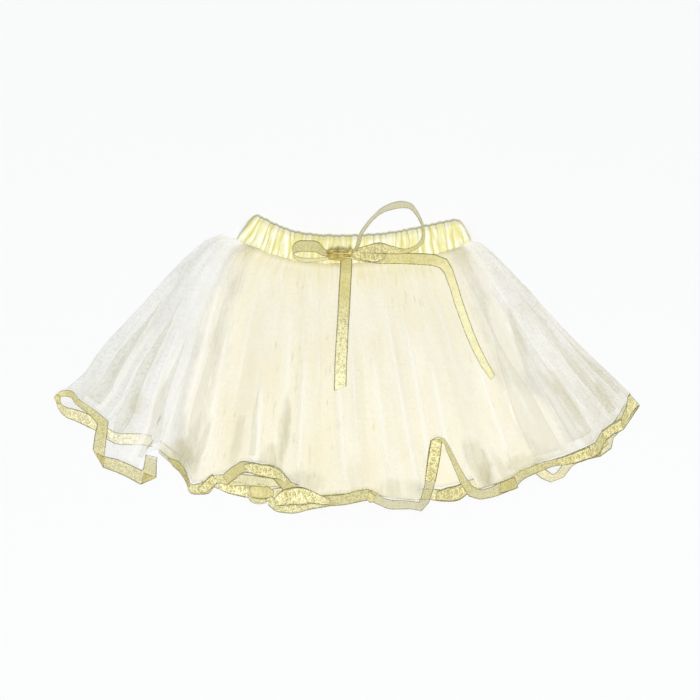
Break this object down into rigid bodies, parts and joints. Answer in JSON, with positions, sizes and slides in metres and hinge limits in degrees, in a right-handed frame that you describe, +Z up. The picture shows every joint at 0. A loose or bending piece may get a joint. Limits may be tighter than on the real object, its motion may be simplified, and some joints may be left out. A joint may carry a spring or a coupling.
{
  "type": "child's tutu laid flat",
  "caption": "Layered net skirt laid flat, with a ruched satin waistband, a metallic ribbon sewn round the ruffled hem and a ribbon bow with tails at the waist.",
  "frame": {"origin": "middle of the laid-out tutu's box, on the surface it lies on", "axes": "+X to the right along the waistband, +Y from the hem towards the waist, +Z up from the surface"},
  "size_m": [0.5854, 0.3126, 0.0297],
  "materials": {
    "sheer_tulle": "fine see-through tulle, matt, ivory",
    "cream_net": "soft gathered net in several plies, matt cream",
    "satin": "pale yellow satin, ruched over elastic, soft shine",
    "gold_ribbon": "open-weave metallic ribbon with firm edges, pale gold glitter"
  },
  "bodies": {
    "root": {"tulle_back": "sheer_tulle", "tulle_front": "sheer_tulle", "net_back_outer": "cream_net", "net_back_inner": "cream_net", "net_front_inner": "cream_net", "net_front_outer": "cream_net", "waistband_back": "satin", "waistband_front": "satin", "hem_back_left_end": "gold_ribbon", "hem_back_left": "gold_ribbon", "hem_back_centre": "gold_ribbon", "hem_back_right": "gold_ribbon", "hem_back_right_end": "gold_ribbon", "hem_front_left_end": "gold_ribbon", "hem_front_box_fold": "gold_ribbon", "hem_front_rise": "gold_ribbon", "hem_front_arch": "gold_ribbon", "hem_front_centre": "gold_ribbon", "hem_front_tall_fold": "gold_ribbon", "hem_front_right": "gold_ribbon", "hem_front_right_end": "gold_ribbon", "bow_knot": "gold_ribbon", "bow_loop_left": "gold_ribbon", "bow_loop_right": "gold_ribbon", "bow_tail_centre": "gold_ribbon", "bow_tail_right": "gold_ribbon"}
  },
  "joints": []
}
